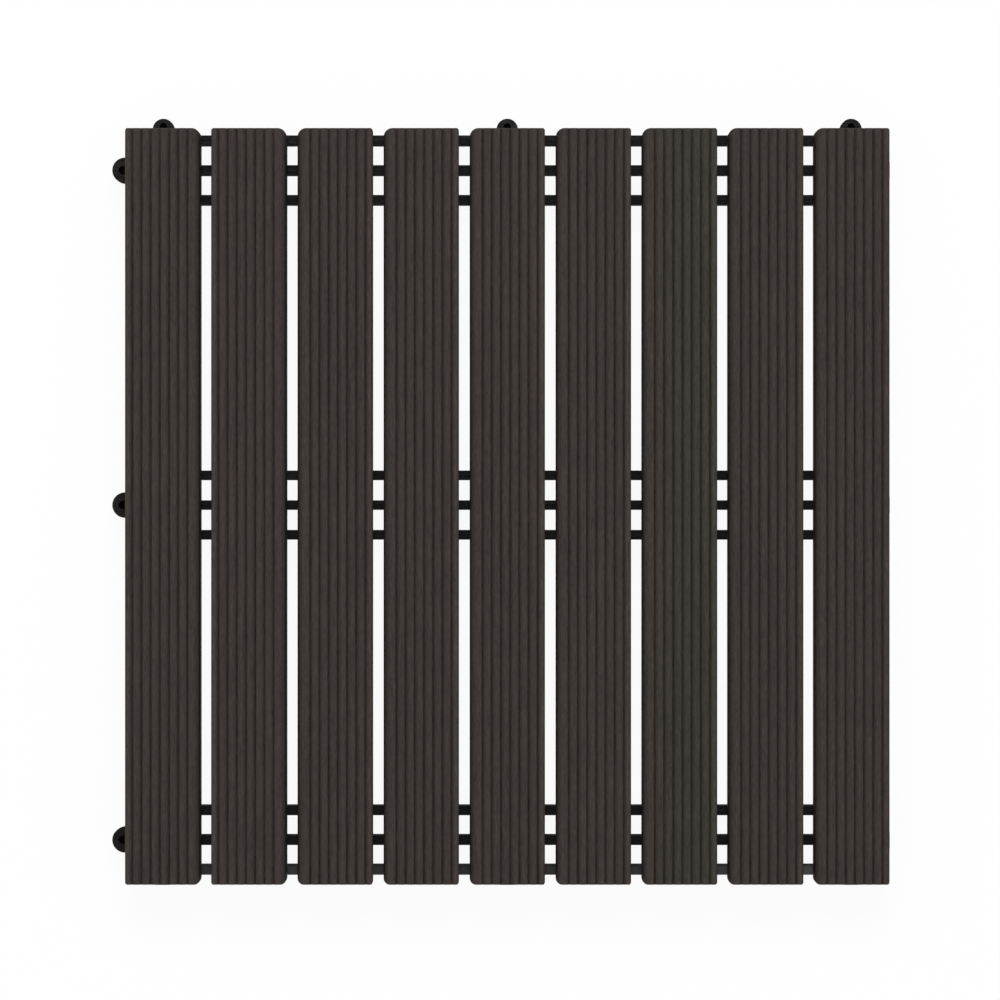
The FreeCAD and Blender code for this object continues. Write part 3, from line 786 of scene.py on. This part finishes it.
class TILE_OT_studio(bpy.types.Operator):
    """Set up the floor, the light and the camera"""
    bl_idname = "deck_tile.studio"
    bl_label = "Studio"

    def execute(self, context):
        scene = context.scene
        settings = scene.tile_studio
        self.make_floor(settings)
        self.make_world(scene, settings)
        self.make_lamp(scene, settings)
        self.make_camera(scene, settings)
        scene.view_settings.view_transform = "Standard"
        return {"FINISHED"}

    def seen(self, finish):
        """1 for rays that show a background: from the camera, mirrored or through glass."""
        camera, mirrored, through = (finish.node("ShaderNodeLightPath", output=name) for name in
                                     ("Is Camera Ray", "Is Glossy Ray", "Is Transmission Ray"))
        return camera + mirrored + through

    def make_floor(self, settings):
        """A pale floor, a little below the tile and clear from below."""
        level = TILE_LOW.z - FLOOR_GAP
        corners = [(x * FLOOR_REACH, y * FLOOR_REACH, level)
                   for x, y in ((-1, -1), (1, -1), (1, 1), (-1, 1))]
        floor = new_object("floor", corners, [(0, 1, 2, 3)])
        finish = Finish("pale_floor")
        texture = finish.noise(0.15, 0.15, 0.15, detail=3.0)
        colour = finish.mix(texture * 0.04, opaque(settings.floor), PALE_GREY)
        matt = finish.node("ShaderNodeBsdfDiffuse", {}, {"Color": colour})
        white = finish.node("ShaderNodeEmission", {}, {"Color": WHITE, "Strength": 1.0})
        shown = self.seen(finish) * settings.seen_white
        upper = finish.node("ShaderNodeMixShader", {}, {0: shown, 1: matt, 2: white})
        clear = finish.node("ShaderNodeBsdfTransparent")
        lower = finish.node("ShaderNodeNewGeometry", output="Backfacing")
        finish.show(finish.node("ShaderNodeMixShader", {}, {0: lower, 1: upper, 2: clear}))
        floor.data.materials.append(finish.owner)

    def make_world(self, scene, settings):
        """Soft light from all round, and a white background."""
        scene.world = bpy.data.worlds.new("studio")
        finish = Finish(scene.world)
        soft = finish.node("ShaderNodeBackground", {}, {"Color": WHITE, "Strength": settings.dome})
        white = finish.node("ShaderNodeBackground", {}, {"Color": WHITE, "Strength": 1.0})
        mixed = finish.node("ShaderNodeMixShader", {}, {0: self.seen(finish), 1: soft, 2: white})
        finish.node("ShaderNodeOutputWorld", {}, {"Surface": mixed})

    def make_lamp(self, scene, settings):
        """A large soft lamp behind the tile, turned towards it."""
        light = bpy.data.lights.new("soft_lamp", "AREA")
        light.shape = "SQUARE"
        light.size = settings.lamp_size
        light.energy = settings.lamp_power
        lamp = bpy.data.objects.new("soft_lamp", light)
        lamp.location = (0, settings.lamp_rear, settings.lamp_height)
        lamp.rotation_euler = (-math.atan2(settings.lamp_rear, settings.lamp_height), 0, 0)
        scene.collection.objects.link(lamp)

    def make_camera(self, scene, settings):
        """A camera high over the tile that looks straight down."""
        data = bpy.data.cameras.new("camera")
        data.lens = settings.lens
        data.sensor_width = 36
        data.clip_start = 0.01
        data.clip_end = 50
        camera = bpy.data.objects.new("camera", data)
        camera.location = (settings.camera_x, settings.camera_y, settings.camera_height)
        scene.collection.objects.link(camera)
        scene.camera = camera


class TILE_PT_panel(bpy.types.Panel):
    """Deck tile"""
    bl_idname = "TILE_PT_panel"
    bl_label = "Deck tile"
    bl_space_type = "VIEW_3D"
    bl_region_type = "UI"
    bl_category = "Deck tile"

    def draw(self, context):
        for name, (group, operator) in SECTIONS.items():
            box = self.layout.box()
            settings = getattr(context.scene, name)
            for key in group.__annotations__:
                box.prop(settings, key)
            box.operator(operator.bl_idname)


SECTIONS = {
    "tile_slats": (SlatSettings, TILE_OT_slats),
    "tile_rails": (RailSettings, TILE_OT_rails),
    "tile_screws": (ScrewSettings, TILE_OT_screws),
    "tile_studio": (StudioSettings, TILE_OT_studio),
}


def register():
    for name, (group, operator) in SECTIONS.items():
        bpy.utils.register_class(group)
        bpy.utils.register_class(operator)
        setattr(bpy.types.Scene, name, PointerProperty(type=group))
    bpy.utils.register_class(TILE_PT_panel)


def unregister():
    bpy.utils.unregister_class(TILE_PT_panel)
    for name, (group, operator) in reversed(SECTIONS.items()):
        delattr(bpy.types.Scene, name)
        bpy.utils.unregister_class(operator)
        bpy.utils.unregister_class(group)


def main():
    register()
    bpy.ops.deck_tile.slats()
    bpy.ops.deck_tile.rails()
    bpy.ops.deck_tile.screws()
    bpy.ops.deck_tile.studio()


if __name__ == "__main__":
    main()
